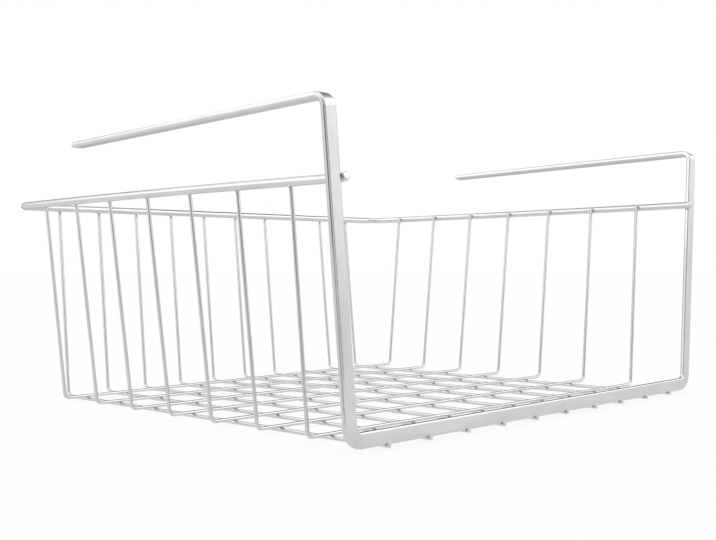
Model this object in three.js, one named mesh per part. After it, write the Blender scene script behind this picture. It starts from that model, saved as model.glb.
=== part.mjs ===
// Wire basket that hangs under a shelf: a front frame bent from one flat bar, a round rim rod, and thin
// wires welded into two walls, a rear wall and a floor. The arms of the frame slide over the shelf.
// Millimetres, +Z up, front towards -Y, origin at the bottom centre of the whole basket.
import * as THREE from 'three';

// Stock
const BAR_WIDTH = 9.2;
const BAR_THICKNESS = 3.6;
const BAR_EDGE_RADIUS = 1.3;
const RIM_DIAMETER = 5.2;
const WIRE_DIAMETER = 2.4;

// Front frame
const FRAME_TOP_WIDTH = 409.5; // over the outer edges of the uprights, at the arms' bends
const FRAME_TAPER = 31.5; // how much narrower the frame is at the bottom bar
const FOOT_BEND_RADIUS = 3.5; // inside of the bend, on the bar's edge
const ARM_BEND_RADIUS = 4.5; // inside of the bend, on the bar's flat
const ARM_LENGTH = 247; // from the front face to the tip
const ARM_DROP = 6.5; // how far the tip lies below the bend, to grip the shelf
const ARM_SPLAY = 4; // how far the tip stands out beyond the bend
const SHELF_GAP = 38.7; // between rim and arms, at the uprights
const BAR_SET_DOWN = 0.3; // how deep the bottom bar is pressed into the long wires

// Rim
const RIM_HEIGHT = 146.4; // axis above the surface that the basket stands on
const RIM_DEPTH = 348.2; // from the frame's front face to the axis of the rear rod
const RIM_REAR_TAPER = 22.5; // from the frame's top width to the axes of the side rods, at the rear
const RIM_BOW = 6; // how far each side swells out between uprights and rear
const RIM_CORNER_RADIUS = 16; // axis of the rod
const RIM_END_OVERHANG = 2; // the ends stand in front of the uprights

// Walls and floor
const CROSS_WIRES = 7;
const LONG_WIRES = 10;
const SIDE_WALL_INSET = 12.7; // from the frame's outer edges to the axes of the side walls, at the floor
const REAR_WALL_LEAN = 10.2; // from the rear rod's axis to the axis of the rear wall, at the floor
const CROSS_REAR_MARGIN = 28.6; // from the last cross wire to the rear wall
const LONG_SIDE_MARGIN = 19.25; // from the outer long wires to the side walls
const WIRE_BEND_RADIUS = 3; // inside of the bend
const WIRE_END_OVERLAP = 2; // the wires end this far above the rim's axis
const LONG_END_OVERHANG = 1.2; // the long wires stand in front of the bottom bar
const LONG_END_LIFT = 0.6; // how far their ends are flattened from below

// Narrow joint between pieces that are welded where they don't lie flat on each other
const WELD_GAP = 0.15;
const PRESSED_SLOPE = 0.3; // length of the step at each end of a wire's pressed stretch

// Facets
const ROD_SIDES = 12;
const EDGE_STEPS = 3;
const BEND_STEPS = 6;
const RIM_SIDE_STEPS = 8;

const SATIN_SILVER = 0xc3c5c6;
const BAR_ROUGHNESS = 0.4;
const ROD_ROUGHNESS = 0.35;

const X = new THREE.Vector3(1, 0, 0);
const Y = new THREE.Vector3(0, 1, 0);
const Z = new THREE.Vector3(0, 0, 1);

const barTopHalf = (FRAME_TOP_WIDTH - BAR_WIDTH) / 2;
const frameFootWidth = FRAME_TOP_WIDTH - FRAME_TAPER;
const barFootHalf = (frameFootWidth - BAR_WIDTH) / 2;
const pressedHeight = WIRE_DIAMETER - BAR_SET_DOWN;
const barFootHeight = pressedHeight + BAR_WIDTH / 2;
const armHeight = RIM_HEIGHT + RIM_DIAMETER / 2 + SHELF_GAP + BAR_THICKNESS / 2;
const uprightLean = Math.atan2(barTopHalf - barFootHalf, armHeight - barFootHeight);

const rimRearWidth = FRAME_TOP_WIDTH - RIM_REAR_TAPER;
const floorWidth = frameFootWidth - 2 * SIDE_WALL_INSET;
const floorDepth = RIM_DEPTH - REAR_WALL_LEAN;
const longWireHeight = WIRE_DIAMETER / 2;
const crossWireHeight = longWireHeight + WIRE_DIAMETER;
const wireToRim = RIM_DIAMETER / 2 + WIRE_DIAMETER / 2 + WELD_GAP;

/** Centre line of bent stock, with the section's two axes at each station. */
class BentLine extends THREE.Curve {
  constructor(stations) {
    super();
    this.stations = stations;
  }

  getSpacedPoints() {
    return this.stations.map((station) => station.at);
  }

  computeFrenetFrames() {
    return {
      tangents: this.stations.map((station) => station.along),
      normals: this.stations.map((station) => station.side),
      binormals: this.stations.map((station) => station.along.clone().cross(station.side)),
    };
  }
}

function stationAt(at, along, side) {
  const square = side.clone().addScaledVector(along, -side.dot(along)).normalize();
  return { at, along, side: square };
}

/** Arc round a corner, from the run that arrives to the run that leaves. */
function bendStations(corner, arriving, leaving, sideBefore) {
  const turn = arriving.angleTo(leaving);
  const inward = leaving.clone().addScaledVector(arriving, -Math.cos(turn)).normalize();
  const start = corner.at.clone().addScaledVector(arriving, -corner.radius * Math.tan(turn / 2));
  return Array.from({ length: BEND_STEPS + 1 }, (_, step) => {
    const share = step / BEND_STEPS;
    const cos = Math.cos(turn * share);
    const sin = Math.sin(turn * share);
    const at = start.clone();
    at.addScaledVector(arriving, corner.radius * sin);
    at.addScaledVector(inward, corner.radius * (1 - cos));
    const along = arriving.clone().multiplyScalar(cos).addScaledVector(inward, sin);
    return stationAt(at, along, sideBefore.clone().lerp(corner.side, share));
  });
}

/** Stock bent through corners. A corner's side is the section's first axis on the run after it. */
function bentStock(section, corners) {
  const last = corners.length - 1;
  const runs = corners.slice(1).map((corner, i) => corner.at.clone().sub(corners[i].at).normalize());
  const stations = corners.flatMap((corner, i) => {
    if (i === 0) return [stationAt(corner.at, runs[0], corner.side)];
    if (i === last) return [stationAt(corner.at, runs[last - 1], corner.side)];
    if (corner.radius > 0) return bendStations(corner, runs[i - 1], runs[i], corners[i - 1].side);
    return [stationAt(corner.at, runs[i - 1].clone().add(runs[i]).normalize(), corner.side)];
  });
  return new THREE.ExtrudeGeometry(section, {
    steps: stations.length - 1,
    curveSegments: EDGE_STEPS,
    extrudePath: new BentLine(stations),
  });
}

/** Round stock, with flats on both axes so that crossing wires lie flat on each other. */
function rodSection(diameter) {
  const cornerRadius = diameter / 2 / Math.cos(Math.PI / ROD_SIDES);
  const points = Array.from({ length: ROD_SIDES }, (_, i) => {
    const angle = (2 * Math.PI * (i + 0.5)) / ROD_SIDES;
    return new THREE.Vector2(cornerRadius * Math.cos(angle), cornerRadius * Math.sin(angle));
  });
  return new THREE.Shape(points);
}

/** Flat bar with rounded edges. */
function barSection() {
  const across = BAR_WIDTH / 2 - BAR_EDGE_RADIUS;
  const through = BAR_THICKNESS / 2 - BAR_EDGE_RADIUS;
  const shape = new THREE.Shape();
  shape.absarc(across, through, BAR_EDGE_RADIUS, 0, Math.PI / 2);
  shape.absarc(-across, through, BAR_EDGE_RADIUS, Math.PI / 2, Math.PI);
  shape.absarc(-across, -through, BAR_EDGE_RADIUS, Math.PI, 1.5 * Math.PI);
  shape.absarc(across, -through, BAR_EDGE_RADIUS, 1.5 * Math.PI, 2 * Math.PI);
  return shape;
}

function mirrored(vector) {
  return new THREE.Vector3(-vector.x, vector.y, vector.z);
}

/** One bar from arm tip to arm tip: flatwise bends at the arms, edgewise bends at the bottom. */
function frontFrame() {
  const barY = BAR_THICKNESS / 2;
  const tip = new THREE.Vector3(barTopHalf + ARM_SPLAY, ARM_LENGTH, armHeight - ARM_DROP);
  const top = new THREE.Vector3(barTopHalf, barY, armHeight);
  const foot = new THREE.Vector3(barFootHalf, barY, barFootHeight);
  const armBend = ARM_BEND_RADIUS + BAR_THICKNESS / 2;
  const footBend = FOOT_BEND_RADIUS + BAR_WIDTH / 2;
  const inward = new THREE.Vector3(-Math.cos(uprightLean), 0, Math.sin(uprightLean));
  const toLeft = X.clone().negate();
  return bentStock(barSection(), [
    { at: mirrored(tip), side: X },
    { at: mirrored(top), side: mirrored(inward), radius: armBend },
    { at: mirrored(foot), side: Z, radius: footBend },
    { at: foot, side: inward, radius: footBend },
    { at: top, side: toLeft, radius: armBend },
    { at: tip, side: toLeft },
  ]);
}

/** Half the width between the rim's axes, at a distance behind the front face. */
function rimHalfWidthAt(y) {
  const rise = (RIM_HEIGHT - barFootHeight) / (armHeight - barFootHeight);
  const uprightHalf = THREE.MathUtils.lerp(barFootHalf, barTopHalf, rise);
  const uprightToRim = BAR_WIDTH / 2 + RIM_DIAMETER / 2 + WELD_GAP;
  const frontHalf = uprightHalf - uprightToRim / Math.cos(uprightLean);
  const share = Math.max(0, (y - BAR_THICKNESS) / (RIM_DEPTH - BAR_THICKNESS));
  return THREE.MathUtils.lerp(frontHalf, rimRearWidth / 2, share) + 4 * RIM_BOW * share * (1 - share);
}

/** U-shaped rod: its ends run along the inner sides of the uprights, and its sides swell gently. */
function rim() {
  const side = [{ y: -RIM_END_OVERHANG, radius: 0 }];
  for (let step = 0; step < RIM_SIDE_STEPS; step += 1) {
    side.push({ y: THREE.MathUtils.lerp(BAR_THICKNESS, RIM_DEPTH, step / RIM_SIDE_STEPS), radius: 0 });
  }
  side.push({ y: RIM_DEPTH, radius: RIM_CORNER_RADIUS });
  const right = side.map(({ y, radius }) => {
    return { at: new THREE.Vector3(rimHalfWidthAt(y), y, RIM_HEIGHT), side: Z, radius };
  });
  const left = right.map((corner) => ({ ...corner, at: mirrored(corner.at) })).reverse();
  return bentStock(rodSection(RIM_DIAMETER), [...right, ...left]);
}

/** Top of a wall wire: from its foot past the rim, which it touches at the given place. */
function wireTop(foot, atRim) {
  const reach = (RIM_HEIGHT + WIRE_END_OVERLAP - foot.z) / (atRim.z - foot.z);
  return foot.clone().lerp(atRim, reach);
}

/** U-shaped wire: left wall, floor and right wall, inside the rim and on top of the long wires. */
function crossWire(y) {
  const foot = new THREE.Vector3(floorWidth / 2, y, crossWireHeight);
  const atRim = new THREE.Vector3(rimHalfWidthAt(y) - wireToRim, y, RIM_HEIGHT);
  const top = wireTop(foot, atRim);
  const radius = WIRE_BEND_RADIUS + WIRE_DIAMETER / 2;
  return bentStock(rodSection(WIRE_DIAMETER), [
    { at: mirrored(top), side: Y },
    { at: mirrored(foot), side: Y, radius },
    { at: foot, side: Y, radius },
    { at: top, side: Y },
  ]);
}

/** Foot and top of the rear wall's wires, outside the rim. */
function rearWall(x) {
  const foot = new THREE.Vector3(x, floorDepth, longWireHeight);
  const atRim = new THREE.Vector3(x, RIM_DEPTH + wireToRim, RIM_HEIGHT);
  return { foot, top: wireTop(foot, atRim) };
}

/** Flattens the front end of a long wire: its top under the bottom bar, its underside up to the end. */
function pressed(geometry) {
  const points = geometry.getAttribute('position');
  const barMiddle = BAR_THICKNESS / 2;
  const reach = barMiddle + WELD_GAP + PRESSED_SLOPE / 2;
  for (let i = 0; i < points.count; i += 1) {
    const behindMiddle = points.getY(i) - barMiddle;
    if (Math.abs(behindMiddle) < reach) points.setZ(i, Math.min(points.getZ(i), pressedHeight));
    if (behindMiddle < reach) points.setZ(i, Math.max(points.getZ(i), LONG_END_LIFT));
  }
  return geometry;
}

/** L-shaped wire: floor and rear wall, from under the bottom bar to the outside of the rear rim. */
function longWire(x) {
  const { foot, top } = rearWall(x);
  const radius = WIRE_BEND_RADIUS + WIRE_DIAMETER / 2;
  const barFront = -WELD_GAP;
  const barRear = BAR_THICKNESS + WELD_GAP;
  const stops = [-LONG_END_OVERHANG, barFront - PRESSED_SLOPE, barFront, barRear, barRear + PRESSED_SLOPE];
  const wire = bentStock(rodSection(WIRE_DIAMETER), [
    ...stops.map((y) => ({ at: new THREE.Vector3(x, y, longWireHeight), side: X, radius: 0 })),
    { at: foot, side: X, radius },
    { at: top, side: X },
  ]);
  return pressed(wire);
}

function piece(name, geometry, roughness) {
  const material = new THREE.MeshStandardMaterial({ color: SATIN_SILVER, roughness, metalness: 1 });
  const mesh = new THREE.Mesh(geometry, material);
  mesh.name = name;
  return mesh;
}

const basket = new THREE.Group();
basket.add(piece('front_frame', frontFrame(), BAR_ROUGHNESS));
basket.add(piece('rim', rim(), ROD_ROUGHNESS));

const crossPitch = (floorDepth - CROSS_REAR_MARGIN) / CROSS_WIRES;
for (let i = 1; i <= CROSS_WIRES; i += 1) {
  basket.add(piece(`cross_wire_${i}`, crossWire(i * crossPitch), ROD_ROUGHNESS));
}

const longSpan = floorWidth - 2 * LONG_SIDE_MARGIN;
for (let i = 1; i <= LONG_WIRES; i += 1) {
  const x = ((i - 1) / (LONG_WIRES - 1) - 0.5) * longSpan;
  basket.add(piece(`long_wire_${i}`, longWire(x), ROD_ROUGHNESS));
}

const frontY = -Math.max(RIM_END_OVERHANG, LONG_END_OVERHANG);
const { foot: rearFoot, top: rearTop } = rearWall(0);
const rearLean = Math.atan2(rearTop.y - rearFoot.y, rearTop.z - rearFoot.z);
const rearY = rearTop.y + (WIRE_DIAMETER / 2) * Math.cos(rearLean);
basket.position.y = -(frontY + rearY) / 2;

export default basket;
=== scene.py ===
import math
import random

import bmesh
import bpy
from mathutils import Matrix, Vector


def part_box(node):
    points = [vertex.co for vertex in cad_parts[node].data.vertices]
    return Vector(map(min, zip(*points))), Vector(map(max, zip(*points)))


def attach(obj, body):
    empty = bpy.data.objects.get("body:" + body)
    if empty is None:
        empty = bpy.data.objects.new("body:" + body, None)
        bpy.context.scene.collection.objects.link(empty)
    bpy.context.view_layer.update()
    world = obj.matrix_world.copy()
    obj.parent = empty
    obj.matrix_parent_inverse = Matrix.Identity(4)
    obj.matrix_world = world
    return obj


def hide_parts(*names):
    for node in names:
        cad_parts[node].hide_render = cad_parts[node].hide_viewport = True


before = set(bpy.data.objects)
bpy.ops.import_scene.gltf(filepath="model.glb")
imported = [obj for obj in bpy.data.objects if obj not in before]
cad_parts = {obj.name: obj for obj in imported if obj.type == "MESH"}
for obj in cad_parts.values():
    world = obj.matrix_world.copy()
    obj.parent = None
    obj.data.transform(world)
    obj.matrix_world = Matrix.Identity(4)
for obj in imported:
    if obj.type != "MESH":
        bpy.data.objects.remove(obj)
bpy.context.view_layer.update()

# Front frame
# One flat steel bar with rolled edges, bent flatwise into two arms that slide over the shelf and edgewise
# into the two feet. The bottom bar joins the uprights, and the whole frame is plated in satin nickel.
MM = 0.001
BAR_WIDTH = 9.2 * MM
BAR_THICKNESS = 3.6 * MM
BAR_EDGE_RADIUS = 1.3 * MM
BAR_EDGE_SEGMENTS = 8
BAR_END_ROUNDING = 0.4 * MM
END_SEGMENTS = 3
FRAME_TOP_HALF = (409.5 * MM - BAR_WIDTH) / 2
FRAME_FOOT_HALF = (378 * MM - BAR_WIDTH) / 2
FOOT_BEND_RADIUS = 3.5 * MM + BAR_WIDTH / 2
ARM_BEND_RADIUS = 4.5 * MM + BAR_THICKNESS / 2
ARM_HEIGHT = 189.5 * MM
ARM_LENGTH = 244 * MM
ARM_DROP = 6.5 * MM
ARM_SPLAY = 4 * MM
RIGHT_ARM_LOW = 1.2 * MM
RIGHT_ARM_DROP = 3.7 * MM
RIGHT_ARM_TWIST = math.radians(8)
BEND_STEPS = 14
BAR_TINT = (0.602, 0.607, 0.604)
BAR_ROUGHNESS = 0.24
EDGE_POLISH = 0.6
EDGE_BLEND = 0.7
FLAT_FACE_WEIGHT = 100
CLOUD_SCALE = 60
CLOUD_DETAIL = 4
CLOUD_RANGE = (0.3, 0.7)
CLOUD_SHADES = (0.95, 1.03)
LINE_STRETCH = (1800, 1800, 20)
LINE_DETAIL = 3
LINE_RANGE = (0.3, 0.7)
LINE_GLOSS = (0.85, 1.15)
LINE_RELIEF = 0.02 * MM
LINE_RELIEF_STRENGTH = 0.25

frame_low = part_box("front_frame")[0]
FRONT_FACE = frame_low.y
BAR_MIDDLE = FRONT_FACE + BAR_THICKNESS / 2
BAR_BOTTOM = frame_low.z
FOOT_HEIGHT = BAR_BOTTOM + BAR_WIDTH / 2


def station(at, heading, side):
    """Place of the stock's section: X across it, Y through it, Z along the stock."""
    across = (side - heading * side.dot(heading)).normalized()
    through = heading.cross(across)
    turn = Matrix((across, through, heading)).transposed()
    return Matrix.Translation(at) @ turn.to_4x4()


def bent_line(corners):
    """Stations along bent stock. A corner is its point, its bend radius and the side after it."""
    points = [at for at, radius, side in corners]
    runs = [(b - a).normalized() for a, b in zip(points, points[1:])]
    stations = [station(points[0], runs[0], corners[0][2])]
    for i in range(1, len(corners) - 1):
        at, radius, side = corners[i]
        before, after, side_before = runs[i - 1], runs[i], corners[i - 1][2]
        if not radius:
            stations.append(station(at, (before + after).normalized(), side))
            continue
        turn = before.angle(after)
        axis = before.cross(after).normalized()
        start = at - before * radius * math.tan(turn / 2)
        centre = start + axis.cross(before) * radius
        for step in range(BEND_STEPS + 1):
            swing = Matrix.Rotation(turn * step / BEND_STEPS, 3, axis)
            leaning = side_before.lerp(side, step / BEND_STEPS)
            stations.append(station(centre + swing @ (start - centre), swing @ before, leaning))
    stations.append(station(points[-1], runs[-1], corners[-1][2]))
    return stations


def bar_ring(bm, place):
    """Outline of the flat bar, with its rolled edges."""
    stretch = Matrix.Diagonal((BAR_WIDTH, BAR_THICKNESS, 1, 1))
    made = bmesh.ops.create_grid(bm, x_segments=1, y_segments=1, size=0.5, matrix=place @ stretch)
    bmesh.ops.bevel(bm, geom=made["verts"], offset=BAR_EDGE_RADIUS, segments=BAR_EDGE_SEGMENTS,
                    profile=0.5, affect="VERTICES", material=-1)
    bmesh.ops.delete(bm, geom=bm.faces[:], context="FACES_ONLY")
    return bm.edges[:]


def draw_stock(bm, ring, stations, end_rounding):
    """Draws the ring along the line, and closes and rounds both cut ends. Keeps the place on the stock."""
    lay = bm.verts.layers.float_vector.new("stock")
    home = stations[0].inverted()
    for vert in bm.verts:
        vert[lay] = home @ vert.co
    ends = [ring]
    for here, there in zip(stations, stations[1:]):
        grown = bmesh.ops.extrude_edge_only(bm, edges=ring)["geom"]
        tip = [part for part in grown if isinstance(part, bmesh.types.BMVert)]
        bmesh.ops.transform(bm, matrix=there @ here.inverted(), space=Matrix.Identity(4), verts=tip)
        step = (there.translation - here.translation).length
        for vert in tip:
            vert[lay] += Vector((0, 0, step))
        fresh = set(tip)
        edges = [part for part in grown if isinstance(part, bmesh.types.BMEdge)]
        ring = [edge for edge in edges if set(edge.verts) <= fresh]
    ends.append(ring)
    for edges in ends:
        bmesh.ops.edgeloop_fill(bm, edges=edges)
    bmesh.ops.recalc_face_normals(bm, faces=bm.faces[:])
    rims = [edge for edges in ends for edge in edges]
    bmesh.ops.bevel(bm, geom=rims, offset=end_rounding, segments=END_SEGMENTS, profile=0.5, affect="EDGES",
                    material=-1, clamp_overlap=True)


def put_in_scene(bm, name, material):
    """Mesh to object, with its finish."""
    mesh = bpy.data.meshes.new(name)
    bm.to_mesh(mesh)
    bm.free()
    mesh.materials.append(material)
    piece = bpy.data.objects.new(name, mesh)
    bpy.context.scene.collection.objects.link(piece)
    return piece


def finish_piece(bm, name, material, nodes=()):
    """One piece of the basket, with smooth faces and its place on it."""
    for face in bm.faces:
        face.smooth = True
    piece = put_in_scene(bm, name, material)
    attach(piece, "root")
    if nodes:
        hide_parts(*nodes)
    return piece


def plain_metal(name):
    """A new bare metal, with its node tree and its shader."""
    material = bpy.data.materials.new(name)
    material.use_nodes = True
    shader = material.node_tree.nodes["Principled BSDF"]
    shader.inputs["Metallic"].default_value = 1
    return material, material.node_tree, shader


def speckle(tree, shader, scale, detail, span, dark, light):
    """A noise in the metal that shades its colour from dark to light over a span. Gives the noise."""
    link = tree.links.new
    place = tree.nodes.new("ShaderNodeTexCoord")
    noise = tree.nodes.new("ShaderNodeTexNoise")
    noise.inputs["Scale"].default_value = scale
    noise.inputs["Detail"].default_value = detail
    link(place.outputs["Object"], noise.inputs["Vector"])
    shade = tree.nodes.new("ShaderNodeValToRGB")
    for stop, position, colour in zip(shade.color_ramp.elements, span, (dark, light)):
        stop.position = position
        stop.color = (*colour, 1)
    link(noise.outputs["Fac"], shade.inputs["Fac"])
    link(shade.outputs["Color"], shader.inputs["Base Color"])
    return noise


def relief_of(tree, shader, noise, strength, distance):
    """Lets a noise raise the surface."""
    relief = tree.nodes.new("ShaderNodeBump")
    relief.inputs["Strength"].default_value = strength
    relief.inputs["Distance"].default_value = distance
    tree.links.new(noise.outputs["Fac"], relief.inputs["Height"])
    tree.links.new(relief.outputs["Normal"], shader.inputs["Normal"])


def satin_plate(name, tint, roughness):
    """Satin nickel plate: faint clouds in its shade, and fine drawing lines along the stock."""
    material, tree, shader = plain_metal(name)
    link = tree.links.new
    dull, clear = [[shade * part for part in tint] for shade in CLOUD_SHADES]
    speckle(tree, shader, CLOUD_SCALE, CLOUD_DETAIL, CLOUD_RANGE, dull, clear)

    stock = tree.nodes.new("ShaderNodeAttribute")
    stock.name = "stock"
    stock.attribute_name = "stock"
    stretch = tree.nodes.new("ShaderNodeMapping")
    stretch.inputs["Scale"].default_value = LINE_STRETCH
    link(stock.outputs["Vector"], stretch.inputs["Vector"])
    lines = tree.nodes.new("ShaderNodeTexNoise")
    lines.inputs["Scale"].default_value = 1
    lines.inputs["Detail"].default_value = LINE_DETAIL
    link(stretch.outputs["Vector"], lines.inputs["Vector"])
    satin = tree.nodes.new("ShaderNodeMapRange")
    satin.name = "satin"
    satin.inputs["From Min"].default_value, satin.inputs["From Max"].default_value = LINE_RANGE
    satin.inputs["To Min"].default_value = LINE_GLOSS[0] * roughness
    satin.inputs["To Max"].default_value = LINE_GLOSS[1] * roughness
    link(lines.outputs["Fac"], satin.inputs["Value"])
    link(satin.outputs["Result"], shader.inputs["Roughness"])
    relief_of(tree, shader, lines, LINE_RELIEF_STRENGTH, LINE_RELIEF)
    return material


def polish_edges(material):
    """The bar's rolled edges come out of the mill smoother than its flats."""
    tree = material.node_tree
    link = tree.links.new
    shader, stock, satin = [tree.nodes[name] for name in ("Principled BSDF", "stock", "satin")]
    axes = tree.nodes.new("ShaderNodeSeparateXYZ")
    link(stock.outputs["Vector"], axes.inputs["Vector"])
    from_middle = tree.nodes.new("ShaderNodeMath")
    from_middle.operation = "ABSOLUTE"
    link(axes.outputs["X"], from_middle.inputs[0])
    share = tree.nodes.new("ShaderNodeMapRange")
    share.inputs["From Min"].default_value = BAR_WIDTH / 2 - BAR_EDGE_RADIUS
    share.inputs["From Max"].default_value = BAR_WIDTH / 2 - BAR_EDGE_RADIUS * EDGE_BLEND
    share.inputs["To Min"].default_value = 1
    share.inputs["To Max"].default_value = EDGE_POLISH
    link(from_middle.outputs["Value"], share.inputs["Value"])
    gloss = tree.nodes.new("ShaderNodeMath")
    gloss.operation = "MULTIPLY"
    link(satin.outputs["Result"], gloss.inputs[0])
    link(share.outputs["Result"], gloss.inputs[1])
    link(gloss.outputs["Value"], shader.inputs["Roughness"])


bar_finish = satin_plate("bar_plate", BAR_TINT, BAR_ROUGHNESS)
polish_edges(bar_finish)

lean = math.atan2(FRAME_TOP_HALF - FRAME_FOOT_HALF, ARM_HEIGHT - FOOT_HEIGHT)
left_tip = Vector((-FRAME_TOP_HALF - ARM_SPLAY, FRONT_FACE + ARM_LENGTH, ARM_HEIGHT - ARM_DROP))
left_bend = Vector((-FRAME_TOP_HALF, BAR_MIDDLE, ARM_HEIGHT))
right_bend = Vector((FRAME_TOP_HALF, BAR_MIDDLE, ARM_HEIGHT - RIGHT_ARM_LOW))
right_tip = Vector((-left_tip.x, left_tip.y, right_bend.z - RIGHT_ARM_DROP))
foot_bend = Vector((FRAME_FOOT_HALF, BAR_MIDDLE, FOOT_HEIGHT))
to_right = Vector((1, 0, 0))
inward = Vector((-math.cos(lean), 0, math.sin(lean)))
twisted = Vector((-math.cos(RIGHT_ARM_TWIST), 0, math.sin(RIGHT_ARM_TWIST)))


def mirrored(vector):
    return Vector((-vector.x, vector.y, vector.z))


frame_line = bent_line([
    (left_tip, 0, to_right),
    (left_bend, ARM_BEND_RADIUS, mirrored(inward)),
    (mirrored(foot_bend), FOOT_BEND_RADIUS, Vector((0, 0, 1))),
    (foot_bend, FOOT_BEND_RADIUS, inward),
    (right_bend, ARM_BEND_RADIUS, twisted),
    (right_tip, 0, twisted),
])
bm = bmesh.new()
draw_stock(bm, bar_ring(bm, frame_line[0]), frame_line, BAR_END_ROUNDING)
bar_piece = finish_piece(bm, "front_frame_bar", bar_finish, ["front_frame"])
flats = bar_piece.modifiers.new("flat faces", "WEIGHTED_NORMAL")
flats.mode = "FACE_AREA"
flats.weight = FLAT_FACE_WEIGHT

# Rim
# A round steel rod bent into a U that swells a little at the sides. Its ends run along the inner edges of
# the uprights and stand just in front of them, where they are welded.
RIM_DIAMETER = 5.2 * MM
RIM_SIDES = 32
RIM_END_ROUNDING = 0.8 * MM
RIM_DEPTH = 348.2 * MM
RIM_REAR_HALF = 387 * MM / 2
RIM_BOW = 6 * MM
RIM_CORNER_RADIUS = 16 * MM
RIM_RIGHT_OVERHANG = 3.2 * MM
RIM_LEFT_OVERHANG = 1.2 * MM
RIM_LEFT_END_RISE = 0.9 * MM
RIM_SIDE_STEPS = 30
WELD_GAP = 0.15 * MM
RIM_TINT = (0.62, 0.62, 0.612)
RIM_ROUGHNESS = 0.2

rim_low, rim_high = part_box("rim")
RIM_HEIGHT = (rim_low.z + rim_high.z) / 2
RIM_REAR = FRONT_FACE + RIM_DEPTH


def upright_half(height):
    """Half the width between the uprights' middles, at a height."""
    share = (height - FOOT_HEIGHT) / (ARM_HEIGHT - FOOT_HEIGHT)
    return FRAME_FOOT_HALF + (FRAME_TOP_HALF - FRAME_FOOT_HALF) * share


def rim_half(y):
    """Half the width between the rim's side rods, at a place from front to rear."""
    beside = (BAR_WIDTH / 2 + RIM_DIAMETER / 2 + WELD_GAP) / math.cos(lean)
    front_half = upright_half(RIM_HEIGHT) - beside
    share = max(0, (y - FRONT_FACE - BAR_THICKNESS) / (RIM_DEPTH - BAR_THICKNESS))
    return front_half + (RIM_REAR_HALF - front_half) * share + 4 * RIM_BOW * share * (1 - share)


def round_ring(bm, place, diameter, sides):
    """Outline of round stock."""
    bmesh.ops.create_circle(bm, cap_ends=False, segments=sides, radius=diameter / 2, matrix=place)
    return bm.edges[:]


up = Vector((0, 0, 1))
behind_upright = FRONT_FACE + BAR_THICKNESS
rim_run = RIM_REAR - behind_upright
rim_stops = [behind_upright + rim_run * i / RIM_SIDE_STEPS for i in range(RIM_SIDE_STEPS)]
right_side = [(Vector((rim_half(y), y, RIM_HEIGHT)), 0, up) for y in rim_stops[:-1]]
right_side.append((Vector((RIM_REAR_HALF, RIM_REAR, RIM_HEIGHT)), RIM_CORNER_RADIUS, up))
left_side = [(mirrored(at), radius, side) for at, radius, side in reversed(right_side)]
rim_ends = [Vector((rim_half(FRONT_FACE), FRONT_FACE - RIM_RIGHT_OVERHANG, RIM_HEIGHT)),
            Vector((-rim_half(FRONT_FACE), FRONT_FACE - RIM_LEFT_OVERHANG, RIM_HEIGHT + RIM_LEFT_END_RISE))]
rim_line = bent_line([(rim_ends[0], 0, up), *right_side, *left_side, (rim_ends[1], 0, up)])
rim_finish = satin_plate("rim_plate", RIM_TINT, RIM_ROUGHNESS)
bm = bmesh.new()
draw_stock(bm, round_ring(bm, rim_line[0], RIM_DIAMETER, RIM_SIDES), rim_line, RIM_END_ROUNDING)
finish_piece(bm, "rim_rod", rim_finish, ["rim"])

# Rim-end welds
# The rim's ends are held to the inner edges of the uprights by short fillet beads: two at the right, above
# and below the rod, and one above it at the left. They are laid by hand with a few ripples and plated over.
BEAD_DIAMETER = 1.4 * MM
BEAD_OVERRUN = 0.5 * MM
BEAD_SIDES = 12
BEAD_STEPS = 16
BEAD_RIPPLES = 4
BEAD_RIPPLE = 0.07
BEAD_END_SHARE = 0.45
BEAD_HEIGHT = 1.75 * MM
BEAD_SINK = BEAD_DIAMETER / 4
BEAD_END_ROUNDING = BEAD_DIAMETER / 6
# The weld metal's tint is darker than the stock's, and darker still in specks: painted shade for the crevices
# round the rim's ends and between crossing wires.
BEAD_SHADED_TINT = (0.5, 0.5, 0.49)
BEAD_ROUGHNESS = 0.3
BEAD_PAINTED_SHADE = 0.5
LUMP_SCALE = 900
LUMP_DETAIL = 3
LUMP_RANGE = (0.35, 0.65)
LUMP_RELIEF = 0.1 * MM
LUMP_RELIEF_STRENGTH = 0.5


def weld_plate(name, tint, roughness, shade_and_scorch):
    """Plated weld metal: duller than the stock, with small lumps, and darker in specks: painted shade for the
    crevices round the weld.
    """
    material, tree, shader = plain_metal(name)
    shader.inputs["Roughness"].default_value = roughness
    shaded_and_scorched = [(1 - shade_and_scorch) * part for part in tint]
    lumps = speckle(tree, shader, LUMP_SCALE, LUMP_DETAIL, LUMP_RANGE, shaded_and_scorched, tint)
    relief_of(tree, shader, lumps, LUMP_RELIEF_STRENGTH, LUMP_RELIEF)
    return material


def bead_line(start, end):
    """Stations along a weld bead, which swells in the middle and has a ripple for each pass of the torch."""
    heading = (end - start).normalized()
    line = []
    for step in range(BEAD_STEPS + 1):
        share = step / BEAD_STEPS
        swell = BEAD_END_SHARE + (1 - BEAD_END_SHARE) * math.sqrt(math.sin(math.pi * share))
        ripple = 1 + BEAD_RIPPLE * math.cos(math.tau * BEAD_RIPPLES * share)
        line.append(station(start.lerp(end, share), heading, up) @ Matrix.Scale(swell * ripple, 4))
    return line


# Painted shade: this darker weld finish stands for the shade above and below the rim's ends and in the
# crossings of the floor.
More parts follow.
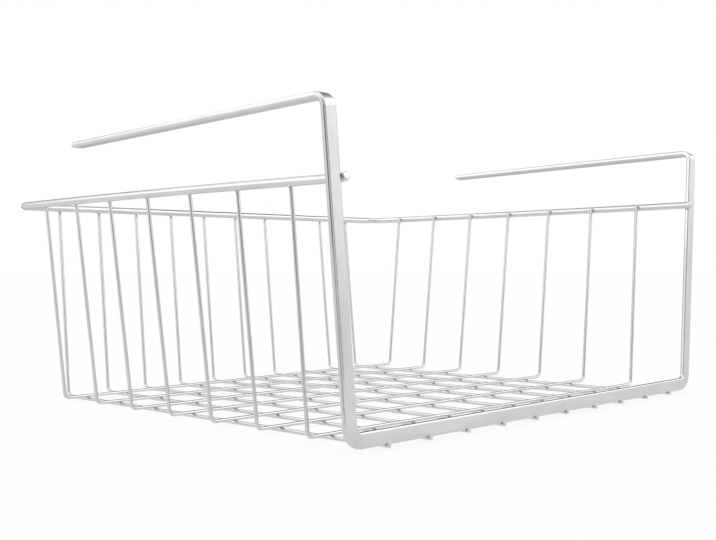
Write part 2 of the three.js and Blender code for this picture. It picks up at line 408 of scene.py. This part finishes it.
weld_finish = weld_plate("weld_plate", BEAD_SHADED_TINT, BEAD_ROUGHNESS, BEAD_PAINTED_SHADE)
rod_half = RIM_DIAMETER / 2
bead_reach = math.sqrt((rod_half + BEAD_SINK) ** 2 - BEAD_HEIGHT ** 2)
rim_end_beads = (
    ("right_upper", 1, BEAD_HEIGHT),
    ("right_lower", 1, -BEAD_HEIGHT),
    ("left", -1, BEAD_HEIGHT),
)
for place, turn, rise in rim_end_beads:
    x = turn * (rim_half(FRONT_FACE) + bead_reach)
    start = Vector((x, FRONT_FACE - BEAD_OVERRUN, RIM_HEIGHT + rise))
    end = Vector((x, behind_upright + BEAD_OVERRUN, RIM_HEIGHT + rise))
    line = bead_line(start, end)
    bm = bmesh.new()
    draw_stock(bm, round_ring(bm, line[0], BEAD_DIAMETER, BEAD_SIDES), line, BEAD_END_ROUNDING)
    finish_piece(bm, f"rim_end_bead_{place}", weld_finish)

# Cross wires
# Seven thin drawn wires, each bent into a U for the left wall, the floor and the right wall. Their tops are
# welded to the inner side of the rim, and their floor lies on the long wires.
WIRE_DIAMETER = 2.4 * MM
WIRE_SIDES = 20
WIRE_END_ROUNDING = 0.4 * MM
WIRE_BEND_RADIUS = 3 * MM + WIRE_DIAMETER / 2
WIRE_END_OVERLAP = 2 * MM
FLOOR_HALF = 352.6 * MM / 2
CROSS_WIRES = 7
CROSS_HEIGHT = 1.5 * WIRE_DIAMETER
WIRE_TO_RIM = RIM_DIAMETER / 2 + WIRE_DIAMETER / 2 + WELD_GAP
WIRE_TINT = (0.61, 0.61, 0.606)
WIRE_ROUGHNESS = 0.26

wire_finish = satin_plate("wire_plate", WIRE_TINT, WIRE_ROUGHNESS)
to_rear = Vector((0, 1, 0))


def wire_top(foot, at_rim):
    """End of a wall wire, a little above the middle of the rim that it touches."""
    reach = (RIM_HEIGHT + WIRE_END_OVERLAP - foot.z) / (at_rim.z - foot.z)
    return foot.lerp(at_rim, reach)


def middle_of(node):
    low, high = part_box(node)
    return (low + high) / 2


cross_places = [middle_of(f"cross_wire_{i}").y for i in range(1, CROSS_WIRES + 1)]
for i, y in enumerate(cross_places, 1):
    foot = Vector((FLOOR_HALF, y, CROSS_HEIGHT))
    top = wire_top(foot, Vector((rim_half(y) - WIRE_TO_RIM, y, RIM_HEIGHT)))
    line = bent_line([
        (mirrored(top), 0, to_rear),
        (mirrored(foot), WIRE_BEND_RADIUS, to_rear),
        (foot, WIRE_BEND_RADIUS, to_rear),
        (top, 0, to_rear),
    ])
    bm = bmesh.new()
    draw_stock(bm, round_ring(bm, line[0], WIRE_DIAMETER, WIRE_SIDES), line, WIRE_END_ROUNDING)
    finish_piece(bm, f"cross_wire_drawn_{i}", wire_finish, [f"cross_wire_{i}"])

# Long wires
# Ten wires of the same stock, bent into an L for the floor and the rear wall. They pass under the cross wires
# and are pressed flat under the bottom bar and a little behind it, and their cut ends show in front. Their
# tops stand outside the rear rim.
LONG_WIRES = 10
LONG_HEIGHT = WIRE_DIAMETER / 2
LONG_END_OVERHANG = 0.9 * MM
LONG_END_LIFT = 0.85 * MM
LONG_END_SPREAD = 1.2
LIFT_REACH = 6 * MM
LIFT_SLOPE = 3 * MM
PRESSED_SLOPE = 0.3 * MM
FLOOR_REAR = FRONT_FACE + 338 * MM

long_places = [middle_of(f"long_wire_{i}").x for i in range(1, LONG_WIRES + 1)]
pressed_front = FRONT_FACE - WELD_GAP
pressed_rear = behind_upright + WELD_GAP
end_stops = [
    FRONT_FACE - LONG_END_OVERHANG,
    pressed_front - PRESSED_SLOPE,
    pressed_front,
    pressed_rear,
    pressed_rear + PRESSED_SLOPE,
    pressed_rear + LIFT_REACH,
    pressed_rear + LIFT_REACH + LIFT_SLOPE,
]
pressed_reach = (pressed_rear - pressed_front + PRESSED_SLOPE) / 2
for i, x in enumerate(long_places, 1):
    foot = Vector((x, FLOOR_REAR, LONG_HEIGHT))
    top = wire_top(foot, Vector((x, RIM_REAR + WIRE_TO_RIM, RIM_HEIGHT)))
    line = bent_line([
        *[(Vector((x, y, LONG_HEIGHT)), 0, to_right) for y in end_stops],
        (foot, WIRE_BEND_RADIUS, to_right),
        (top, 0, to_right),
    ])
    bm = bmesh.new()
    draw_stock(bm, round_ring(bm, line[0], WIRE_DIAMETER, WIRE_SIDES), line, WIRE_END_ROUNDING)
    for vert in bm.verts:
        behind_middle = vert.co.y - BAR_MIDDLE
        if abs(behind_middle) < pressed_reach:
            vert.co.z = min(vert.co.z, BAR_BOTTOM)
            vert.co.x = x + (vert.co.x - x) * LONG_END_SPREAD
        if vert.co.y < pressed_rear + LIFT_REACH + LIFT_SLOPE / 2:
            vert.co.z = max(vert.co.z, LONG_END_LIFT)
    finish_piece(bm, f"long_wire_drawn_{i}", wire_finish, [f"long_wire_{i}"])

# Wire welds
# Where two wires cross, or a wire meets the rim or the bar, current has melted them together: they sink into
# each other a little and push out a small, uneven collar round the contact. A lump of the same weld covers
# each wire end before the bar.
COLLAR_RADIUS = 1.35 * MM
COLLAR_HALF_HEIGHT = 0.6 * MM
COLLAR_SIDES = 12
COLLAR_LEVELS = 4
COLLAR_SLOPE = math.radians(80)
COLLAR_WIDTHS = (0.92, 1.08)
COLLAR_HEIGHTS = (0.9, 1.1)
RIM_COLLAR_RADIUS = 1.55 * MM
RIM_COLLAR_SAG = 1.05 * MM
RIM_COLLAR_HALF_HEIGHT = 0.75 * MM
# Darker specks on the rim collars: painted shade for the shade on the wire tops just under the rim.
RIM_COLLAR_PAINTED_SHADE = 0.35
BAR_COLLAR_RADIUS = 1.35 * MM
BAR_COLLAR_HALF_HEIGHT = 0.55 * MM
NUB_RADIUS = 1.6 * MM
NUB_LENGTH = 1.15 * MM
NUB_HEIGHT = 2.15 * MM
NUB_ROUGHNESS = 0.5
NUB_SCORCH = 0.1

unevenness = random.Random(3)


def weld_collar(bm, at, axis, radius, half_height):
    """One collar: a rounded profile spun round the line through the contact."""
    across = Vector((axis.z, axis.x, axis.y)) * radius * unevenness.uniform(*COLLAR_WIDTHS)
    rise = axis * half_height * unevenness.uniform(*COLLAR_HEIGHTS)
    slopes = [COLLAR_SLOPE * (2 * level / COLLAR_LEVELS - 1) for level in range(COLLAR_LEVELS + 1)]
    profile = [bm.verts.new(at + across * math.cos(slope) + rise * math.sin(slope)) for slope in slopes]
    outline = [bm.edges.new(pair) for pair in zip(profile, profile[1:])]
    bmesh.ops.spin(bm, geom=profile + outline, cent=at, axis=axis, angle=math.tau, steps=COLLAR_SIDES,
                   use_merge=True)


def finish_welds(bm, name, material):
    """Closes the collars' ends and makes one piece of them."""
    bmesh.ops.holes_fill(bm, edges=bm.edges[:], sides=COLLAR_SIDES)
    bmesh.ops.recalc_face_normals(bm, faces=bm.faces[:])
    finish_piece(bm, name, material)


# The floor collars take the darker weld finish, painted shade for the crevices where the wires cross.
bm = bmesh.new()
for y in cross_places:
    for x in long_places:
        weld_collar(bm, Vector((x, y, WIRE_DIAMETER)), up, COLLAR_RADIUS, COLLAR_HALF_HEIGHT)
finish_welds(bm, "floor_welds", weld_finish)

bm = bmesh.new()
for y in cross_places:
    for turn in (-1, 1):
        at = Vector((turn * (rim_half(y) - rod_half), y, RIM_HEIGHT - RIM_COLLAR_SAG))
        weld_collar(bm, at, to_right, RIM_COLLAR_RADIUS, RIM_COLLAR_HALF_HEIGHT)
for x in long_places:
    at = Vector((x, RIM_REAR + rod_half, RIM_HEIGHT - RIM_COLLAR_SAG))
    weld_collar(bm, at, to_rear, RIM_COLLAR_RADIUS, RIM_COLLAR_HALF_HEIGHT)
# The collars hang a little below the rim and are darkened in specks, painted shade on the wire tops under it.
rim_weld_finish = weld_plate("rim_weld_plate", RIM_TINT, RIM_ROUGHNESS, RIM_COLLAR_PAINTED_SHADE)
finish_welds(bm, "rim_welds", rim_weld_finish)

bm = bmesh.new()
for x in long_places:
    behind_bar = Vector((x, behind_upright, BAR_BOTTOM))
    before_bar = Vector((x, FRONT_FACE, NUB_HEIGHT))
    weld_collar(bm, behind_bar, to_rear, BAR_COLLAR_RADIUS, BAR_COLLAR_HALF_HEIGHT)
    weld_collar(bm, before_bar, to_rear, NUB_RADIUS, NUB_LENGTH)
bar_weld_finish = weld_plate("bar_weld_plate", BAR_TINT, NUB_ROUGHNESS, NUB_SCORCH)
finish_welds(bm, "bar_welds", bar_weld_finish)

# Studio
# A white floor under an even white sky. Bright cards at the sides and above give the metal its highlights,
# and darker flags before and behind it draw its edges, as for any shiny thing on white. The camera and the
# metal see the floor mostly as plain white, and the rest of it keeps a faint shadow of the basket.
bpy.context.scene.view_settings.view_transform = "Standard"
world = bpy.data.worlds.new("studio")
bpy.context.scene.world = world
world.use_nodes = True
sky = world.node_tree.nodes["Background"]
sky.inputs["Color"].default_value = (1, 1, 1, 1)
sky.inputs["Strength"].default_value = 1

FLOOR_SIZE = 20
FLOOR_WHITE = 0.98
FLOOR_GLOW = 0.8


def stage_piece(bm, name, material):
    """The floor or a card, which is no part of the basket."""
    piece = put_in_scene(bm, name, material)
    return piece


paper = bpy.data.materials.new("white_paper")
paper.use_nodes = True
tree = paper.node_tree
link = tree.links.new
matte = tree.nodes["Principled BSDF"]
matte.inputs["Base Color"].default_value = (FLOOR_WHITE, FLOOR_WHITE, FLOOR_WHITE, 1)
matte.inputs["Roughness"].default_value = 1
matte.inputs["Specular IOR Level"].default_value = 0
rays = tree.nodes.new("ShaderNodeLightPath")
seen = tree.nodes.new("ShaderNodeMath")
seen.operation = "MAXIMUM"
link(rays.outputs["Is Camera Ray"], seen.inputs[0])
link(rays.outputs["Is Glossy Ray"], seen.inputs[1])
seen_through = tree.nodes.new("ShaderNodeMath")
seen_through.operation = "MAXIMUM"
link(seen.outputs["Value"], seen_through.inputs[0])
link(rays.outputs["Is Transmission Ray"], seen_through.inputs[1])
white_share = tree.nodes.new("ShaderNodeMath")
white_share.operation = "MULTIPLY"
white_share.inputs[1].default_value = FLOOR_GLOW
link(seen_through.outputs["Value"], white_share.inputs[0])
glow = tree.nodes.new("ShaderNodeEmission")
glow.inputs["Color"].default_value = (1, 1, 1, 1)
blend = tree.nodes.new("ShaderNodeMixShader")
link(white_share.outputs["Value"], blend.inputs["Fac"])
link(matte.outputs["BSDF"], blend.inputs[1])
link(glow.outputs["Emission"], blend.inputs[2])
link(blend.outputs["Shader"], tree.nodes["Material Output"].inputs["Surface"])
bm = bmesh.new()
bmesh.ops.create_grid(bm, x_segments=1, y_segments=1, size=FLOOR_SIZE)
stage_piece(bm, "floor", paper)


def show_to_metal(bm, name, brightness):
    """A card of an even brightness, which only reflections see."""
    light = bpy.data.materials.new(name)
    light.use_nodes = True
    light.node_tree.nodes.clear()
    emit = light.node_tree.nodes.new("ShaderNodeEmission")
    emit.inputs["Strength"].default_value = brightness
    output = light.node_tree.nodes.new("ShaderNodeOutputMaterial")
    light.node_tree.links.new(emit.outputs["Emission"], output.inputs["Surface"])
    piece = stage_piece(bm, name, light)
    piece.visible_camera = False
    piece.visible_diffuse = False
    piece.visible_transmission = False
    piece.visible_shadow = False


CARD_STEPS = 24


def standing_card(name, start, sweep, bottom, top, brightness):
    """A curved card round the basket, from an angle on and over a sweep, in degrees.

    Bottom and top are its edges' distance from the middle and their height, in metres.
    """
    bm = bmesh.new()
    heading = Matrix.Rotation(math.radians(start), 3, "Z") @ to_right
    edge = [bm.verts.new(heading * distance + up * height) for distance, height in (bottom, top)]
    line = edge + [bm.edges.new(edge)]
    bmesh.ops.spin(bm, geom=line, cent=(0, 0, 0), axis=up, angle=math.radians(sweep), steps=CARD_STEPS)
    show_to_metal(bm, name, brightness)


standing_card("left_low_soft_box", 152, 24, (1.5, 0.01), (1.5, 0.28), 1.45)
standing_card("left_soft_box", 118, 56, (1.5, 0.28), (1.5, 0.42), 1.3)
standing_card("left_upper_soft_box", 114, 60, (1.5, 0.42), (1.5, 1.9), 1.7)
standing_card("left_rear_soft_box", 86, 28, (1.5, 1.15), (1.5, 1.9), 1.8)
standing_card("right_soft_box", -72, 32, (1.5, 0.06), (1.5, 0.6), 1.4)
standing_card("right_rear_soft_box", -40, 28, (1.5, 0.22), (1.5, 0.6), 1.35)
standing_card("right_upper_soft_box", -72, 64, (1.5, 0.6), (1.5, 1.9), 2.0)
standing_card("front_low_flag", -160, 22, (0.3, 0.003), (0.4, 0.09), 0.6)
standing_card("front_flag", -167, 29, (0.4, 0.09), (0.45, 0.2), 0.26)
standing_card("front_right_flag", -138, 24, (0.4, 0.003), (0.45, 0.2), 0.85)
standing_card("right_edge_flag", -114, 26, (0.42, 0.003), (0.46, 0.22), 0.35)
standing_card("front_upper_flag", -160, 46, (0.45, 0.2), (0.45, 0.34), 0.6)
standing_card("front_floor_card", -125, 62, (0.2, 0.004), (1.3, 0.006), 1.1)
standing_card("rear_flag", -5, 103, (1.2, 0.01), (1.2, 0.25), 0.35)
standing_card("rear_upper_flag", -10, 104, (1.2, 0.25), (1.2, 0.6), 0.15)
standing_card("rear_top_flag", -10, 104, (1.2, 0.6), (1.2, 1.0), 0.4)
standing_card("rear_high_flag", 2, 48, (1.2, 1.0), (1.2, 1.9), 0.22)
standing_card("rear_corner_flag", -12, 14, (1.2, 1.38), (1.2, 1.9), 0.3)
standing_card("right_corner_flag", -28, 16, (1.2, 1.36), (1.2, 1.9), 0.75)
standing_card("rear_floor_flag", 0, 110, (0.42, 0.004), (1.2, 0.006), 0.64)

TOP_BOX_AT = Vector((-0.35, -0.4, 1.6))
TOP_BOX_HALF = 0.85
TOP_BOX_BRIGHTNESS = 1.6
bm = bmesh.new()
overhead = Matrix.Translation(TOP_BOX_AT)
bmesh.ops.create_grid(bm, x_segments=1, y_segments=1, size=TOP_BOX_HALF, matrix=overhead)
show_to_metal(bm, "top_soft_box", TOP_BOX_BRIGHTNESS)

# Camera
# The photograph's own viewpoint: low, near the left front corner, and level.
IMAGE_WIDTH = 716
IMAGE_HEIGHT = 540
FOCAL_PIXELS = 1034.97
CENTRE_X = 367.97
CENTRE_Y = 249.94
CAMERA_AT = Vector((-570.78, -386.78, 99.31)) * MM + Vector((0, FRONT_FACE, 0))
AZIMUTH = math.radians(-45.851)
ELEVATION = math.radians(-0.942)
ROLL = math.radians(-0.33)
SENSOR_WIDTH = 36

lens = bpy.data.cameras.new("camera")
lens.sensor_fit = "HORIZONTAL"
lens.sensor_width = SENSOR_WIDTH
lens.lens = FOCAL_PIXELS / IMAGE_WIDTH * SENSOR_WIDTH
lens.shift_x = (IMAGE_WIDTH / 2 - CENTRE_X) / IMAGE_WIDTH
lens.shift_y = (CENTRE_Y - IMAGE_HEIGHT / 2) / IMAGE_WIDTH
camera = bpy.data.objects.new("camera", lens)
bpy.context.scene.collection.objects.link(camera)
level_reach = math.cos(ELEVATION)
back = Vector((math.sin(AZIMUTH) * level_reach, -math.cos(AZIMUTH) * level_reach, math.sin(ELEVATION)))
level = Vector((math.cos(AZIMUTH), math.sin(AZIMUTH), 0))
turn = Matrix((level, back.cross(level), back)).transposed().to_4x4()
camera.matrix_world = Matrix.Translation(CAMERA_AT) @ turn @ Matrix.Rotation(ROLL, 4, "Z")
bpy.context.scene.camera = camera
